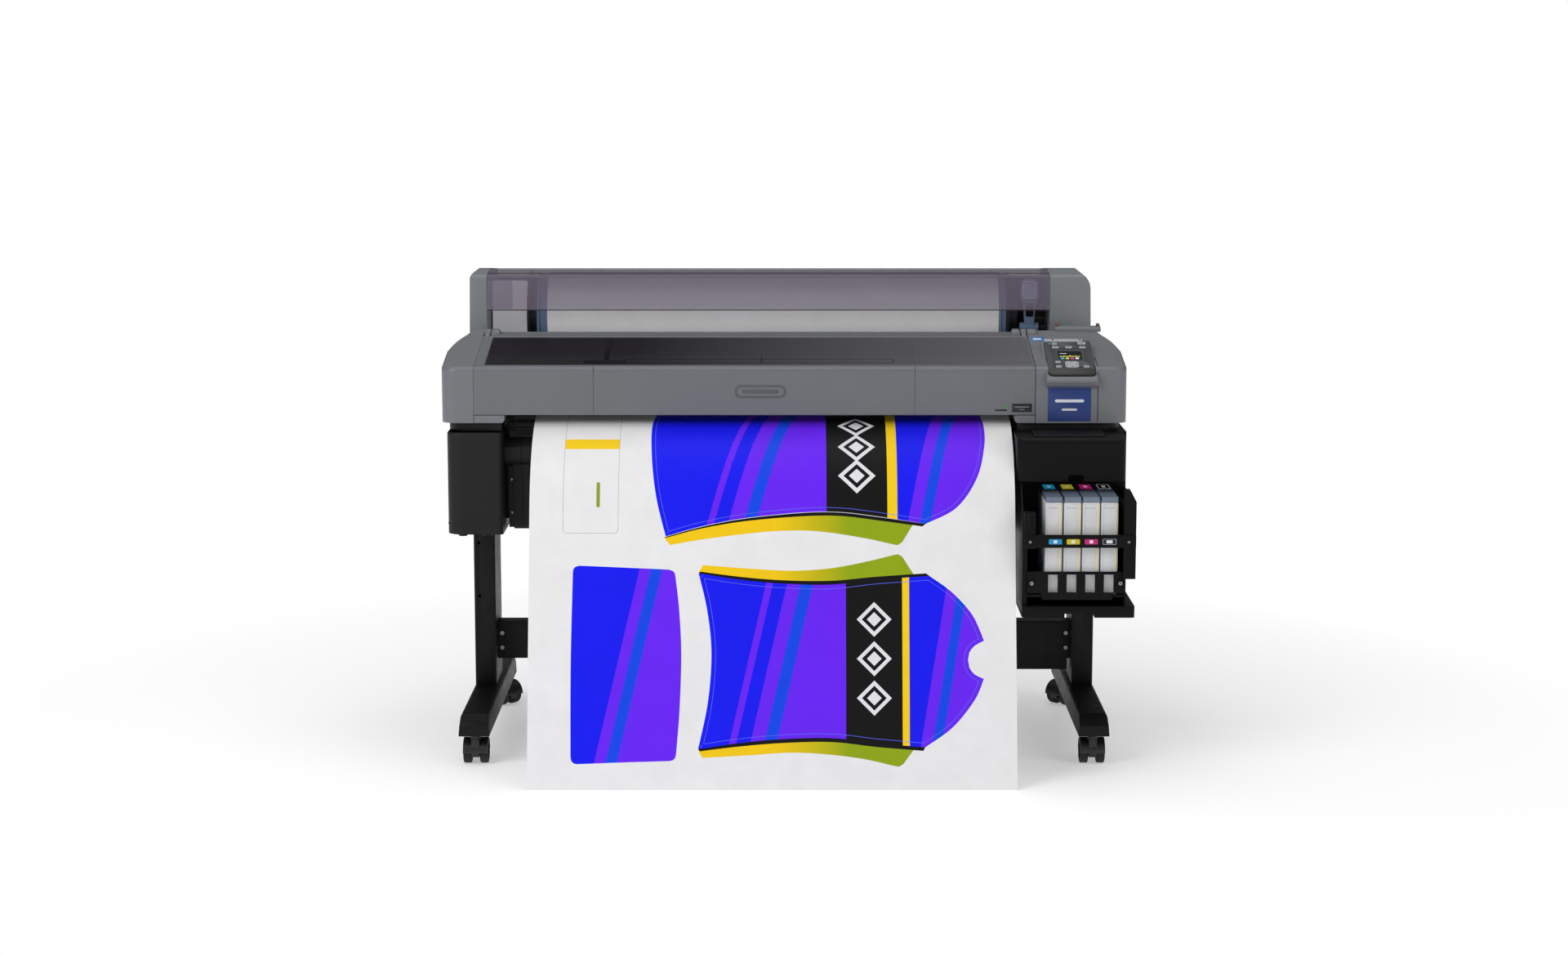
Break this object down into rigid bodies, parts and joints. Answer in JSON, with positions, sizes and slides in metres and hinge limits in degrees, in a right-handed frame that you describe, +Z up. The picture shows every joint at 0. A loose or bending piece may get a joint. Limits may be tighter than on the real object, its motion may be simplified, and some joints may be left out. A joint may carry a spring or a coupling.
{
  "type": "wide-format roll printer with cutter",
  "caption": "Floor-standing roll-fed wide-format printer with a carriage cutter, smoked lift-up covers, side ink tanks and a castered stand.",
  "frame": {"origin": "on the floor, at the centre of the overall width and depth", "axes": "+X to the operator's right across the roll, +Y from the front of the machine to the back, +Z up; Z = 0 is the floor"},
  "size_m": [1.608, 1.016, 1.128],
  "materials": {
    "stand_metal": "fine powder coat, satin",
    "bolt_steel": "zinc plated",
    "caster_nylon": "moulded nylon",
    "caster_tread": "hard rubber",
    "grey_plastic": "fine moulded grain",
    "deck_grey": "fine moulded grain",
    "tower_grey": "fine moulded grain",
    "black_plastic": "moulded grain",
    "smoked_window": "clear smoked acrylic",
    "media_paper": "matt coated paper",
    "printed_paper": "matt coated paper with a printed pattern",
    "blue_plastic": "moulded",
    "roller_rubber": "ground rubber",
    "rail_aluminium": "extruded",
    "carriage_plastic": "moulded",
    "blade_steel": "ground",
    "belt_rubber": "toothed belt",
    "pulley_steel": "turned",
    "tank_plastic": "translucent white",
    "slate_plastic": "moulded",
    "panel_black": "satin",
    "screen_glass": "display window",
    "button_grey": "moulded"
  },
  "bodies": {
    "printer": {"base_pan": "black_plastic", "capping_station": "black_plastic", "carriage_rail": "rail_aluminium", "cross_beam": "stand_metal", "drive_belt": "belt_rubber", "ink_rack": "black_plastic", "ink_tanks": "tank_plastic", "left_column": "stand_metal", "left_end_cover": "grey_plastic", "left_foot": "stand_metal", "left_lower_casing": "black_plastic", "left_roll_tower": "tower_grey", "lower_front_guide": "black_plastic", "panel_bezel": "panel_black", "panel_housing": "grey_plastic", "platen": "black_plastic", "printed_sheet": "printed_paper", "rear_panel": "deck_grey", "right_column": "stand_metal", "right_end_cover": "grey_plastic", "right_foot": "stand_metal", "right_roll_tower": "tower_grey", "screen": "screen_glass", "stand_bolts": "bolt_steel", "top_deck": "deck_grey"},
    "front_cover": {"front_cover": "grey_plastic", "front_window": "smoked_window"},
    "roll_cover": {"roll_cover": "smoked_window"},
    "media_roll": {"media_roll": "media_paper", "roll_adapter_left": "blue_plastic", "roll_adapter_right": "blue_plastic"},
    "roll_lock_lever": {"roll_lock_lever": "blue_plastic"},
    "feed_roller": {"feed_roller": "roller_rubber"},
    "pinch_rollers": {"pinch_rollers": "roller_rubber"},
    "carriage": {"carriage": "carriage_plastic"},
    "motor_pulley": {"motor_pulley": "pulley_steel"},
    "idler_pulley": {"idler_pulley": "pulley_steel"},
    "cutter_blade": {"cutter_blade": "blade_steel"},
    "ink_cover": {"ink_cover": "black_plastic"},
    "ink_slider_1": {"ink_slider_1": "slate_plastic"},
    "ink_slider_2": {"ink_slider_2": "slate_plastic"},
    "ink_slider_3": {"ink_slider_3": "slate_plastic"},
    "ink_slider_4": {"ink_slider_4": "slate_plastic"},
    "button_power": {"button_power": "button_grey"},
    "button_pause": {"button_pause": "button_grey"},
    "button_row_left": {"button_row_left": "button_grey"},
    "button_row_middle": {"button_row_middle": "button_grey"},
    "button_row_right": {"button_row_right": "button_grey"},
    "button_back": {"button_back": "button_grey"},
    "button_menu": {"button_menu": "button_grey"},
    "button_pad": {"button_pad": "button_grey"},
    "button_enter": {"button_enter": "button_grey"},
    "caster_swivel_front_left": {"caster_swivel_front_left": "caster_nylon"},
    "caster_wheel_front_left": {"caster_wheel_front_left": "caster_tread"},
    "caster_swivel_front_right": {"caster_swivel_front_right": "caster_nylon"},
    "caster_wheel_front_right": {"caster_wheel_front_right": "caster_tread"},
    "caster_swivel_rear_left": {"caster_swivel_rear_left": "caster_nylon"},
    "caster_wheel_rear_left": {"caster_wheel_rear_left": "caster_tread"},
    "caster_swivel_rear_right": {"caster_swivel_rear_right": "caster_nylon"},
    "caster_wheel_rear_right": {"caster_wheel_rear_right": "caster_tread"}
  },
  "joints": [
    {"name": "front_cover_hinge", "type": "hinge", "parent": "printer", "child": "front_cover", "pos_m": [0, 0.075, 0.984], "axis": [-1, 0, 0], "range_deg": [0, 80]},
    {"name": "roll_cover_hinge", "type": "hinge", "parent": "printer", "child": "roll_cover", "pos_m": [0, 0.495, 1.052], "axis": [-1, 0, 0], "range_deg": [0, 90]},
    {"name": "media_roll_spin", "type": "hinge", "parent": "printer", "child": "media_roll", "pos_m": [0, 0.333, 1.01], "axis": [1, 0, 0], "continuous": true},
    {"name": "roll_lock_lever_pivot", "type": "hinge", "parent": "printer", "child": "roll_lock_lever", "pos_m": [0.607, 0.24, 0.985], "axis": [-1, 0, 0], "range_deg": [0, 40]},
    {"name": "feed_roller_spin", "type": "hinge", "parent": "printer", "child": "feed_roller", "pos_m": [0, 0.03, 0.7994], "axis": [1, 0, 0], "continuous": true},
    {"name": "pinch_rollers_spin", "type": "hinge", "parent": "printer", "child": "pinch_rollers", "pos_m": [0, 0.03, 0.8196], "axis": [1, 0, 0], "continuous": true},
    {"name": "carriage_slide", "type": "slide", "parent": "printer", "child": "carriage", "axis": [-1, 0, 0], "range_m": [0, 1.28]},
    {"name": "motor_pulley_spin", "type": "hinge", "parent": "printer", "child": "motor_pulley", "pos_m": [0.752, 0.058, 0.925], "axis": [0, 1, 0], "continuous": true},
    {"name": "idler_pulley_spin", "type": "hinge", "parent": "printer", "child": "idler_pulley", "pos_m": [-0.712, 0.058, 0.925], "axis": [0, 1, 0], "continuous": true},
    {"name": "cutter_blade_drop", "type": "slide", "parent": "carriage", "child": "cutter_blade", "axis": [0, 0, -1], "range_m": [0, 0.005]},
    {"name": "ink_cover_hinge", "type": "hinge", "parent": "printer", "child": "ink_cover", "pos_m": [0.663, -0.207, 0.772], "axis": [-1, 0, 0], "range_deg": [0, 70]},
    {"name": "ink_slider_1_slide", "type": "slide", "parent": "printer", "child": "ink_slider_1", "axis": [0, -1, 0], "range_m": [0, 0.06]},
    {"name": "ink_slider_2_slide", "type": "slide", "parent": "printer", "child": "ink_slider_2", "axis": [0, -1, 0], "range_m": [0, 0.06]},
    {"name": "ink_slider_3_slide", "type": "slide", "parent": "printer", "child": "ink_slider_3", "axis": [0, -1, 0], "range_m": [0, 0.06]},
    {"name": "ink_slider_4_slide", "type": "slide", "parent": "printer", "child": "ink_slider_4", "axis": [0, -1, 0], "range_m": [0, 0.06]},
    {"name": "button_power_press", "type": "slide", "parent": "printer", "child": "button_power", "axis": [0, 0.3436, -0.9391], "range_m": [0, 0.001], "stiffness_N_per_m": 400},
    {"name": "button_pause_press", "type": "slide", "parent": "printer", "child": "button_pause", "axis": [0, 0.3436, -0.9391], "range_m": [0, 0.001], "stiffness_N_per_m": 400},
    {"name": "button_row_left_press", "type": "slide", "parent": "printer", "child": "button_row_left", "axis": [0, 0.3436, -0.9391], "range_m": [0, 0.001], "stiffness_N_per_m": 400},
    {"name": "button_row_middle_press", "type": "slide", "parent": "printer", "child": "button_row_middle", "axis": [0, 0.3436, -0.9391], "range_m": [0, 0.001], "stiffness_N_per_m": 400},
    {"name": "button_row_right_press", "type": "slide", "parent": "printer", "child": "button_row_right", "axis": [0, 0.3436, -0.9391], "range_m": [0, 0.001], "stiffness_N_per_m": 400},
    {"name": "button_back_press", "type": "slide", "parent": "printer", "child": "button_back", "axis": [0, 0.3436, -0.9391], "range_m": [0, 0.001], "stiffness_N_per_m": 400},
    {"name": "button_menu_press", "type": "slide", "parent": "printer", "child": "button_menu", "axis": [0, 0.3436, -0.9391], "range_m": [0, 0.001], "stiffness_N_per_m": 400},
    {"name": "button_pad_press", "type": "slide", "parent": "printer", "child": "button_pad", "axis": [0, 0.3436, -0.9391], "range_m": [0, 0.001], "stiffness_N_per_m": 400},
    {"name": "button_enter_press", "type": "slide", "parent": "printer", "child": "button_enter", "axis": [0, 0.3436, -0.9391], "range_m": [0, 0.001], "stiffness_N_per_m": 400},
    {"name": "caster_swivel_front_left_turn", "type": "hinge", "parent": "printer", "child": "caster_swivel_front_left", "pos_m": [-0.727, -0.262, 0.0737], "axis": [0, 0, 1], "continuous": true},
    {"name": "caster_wheel_front_left_spin", "type": "hinge", "parent": "caster_swivel_front_left", "child": "caster_wheel_front_left", "pos_m": [-0.727, -0.245, 0.0285], "axis": [1, 0, 0], "continuous": true},
    {"name": "caster_swivel_front_right_turn", "type": "hinge", "parent": "printer", "child": "caster_swivel_front_right", "pos_m": [0.727, -0.262, 0.0737], "axis": [0, 0, 1], "continuous": true},
    {"name": "caster_wheel_front_right_spin", "type": "hinge", "parent": "caster_swivel_front_right", "child": "caster_wheel_front_right", "pos_m": [0.727, -0.245, 0.0285], "axis": [1, 0, 0], "continuous": true},
    {"name": "caster_swivel_rear_left_turn", "type": "hinge", "parent": "printer", "child": "caster_swivel_rear_left", "pos_m": [-0.727, 0.385, 0.0737], "axis": [0, 0, 1], "continuous": true},
    {"name": "caster_wheel_rear_left_spin", "type": "hinge", "parent": "caster_swivel_rear_left", "child": "caster_wheel_rear_left", "pos_m": [-0.71498, 0.37298, 0.0285], "axis": [-0.7071, -0.7071, 0], "continuous": true},
    {"name": "caster_swivel_rear_right_turn", "type": "hinge", "parent": "printer", "child": "caster_swivel_rear_right", "pos_m": [0.727, 0.385, 0.0737], "axis": [0, 0, 1], "continuous": true},
    {"name": "caster_wheel_rear_right_spin", "type": "hinge", "parent": "caster_swivel_rear_right", "child": "caster_wheel_rear_right", "pos_m": [0.71498, 0.37298, 0.0285], "axis": [-0.7071, 0.7071, 0], "continuous": true}
  ],
  "couplings": [
    {"joint": "feed_roller_spin", "follows": "media_roll_spin", "ratio": -9.5455},
    {"joint": "pinch_rollers_spin", "follows": "media_roll_spin", "ratio": 13.125},
    {"joint": "motor_pulley_spin", "follows": "carriage_slide", "rad_per_m": 101.52},
    {"joint": "idler_pulley_spin", "follows": "carriage_slide", "rad_per_m": 101.52}
  ]
}
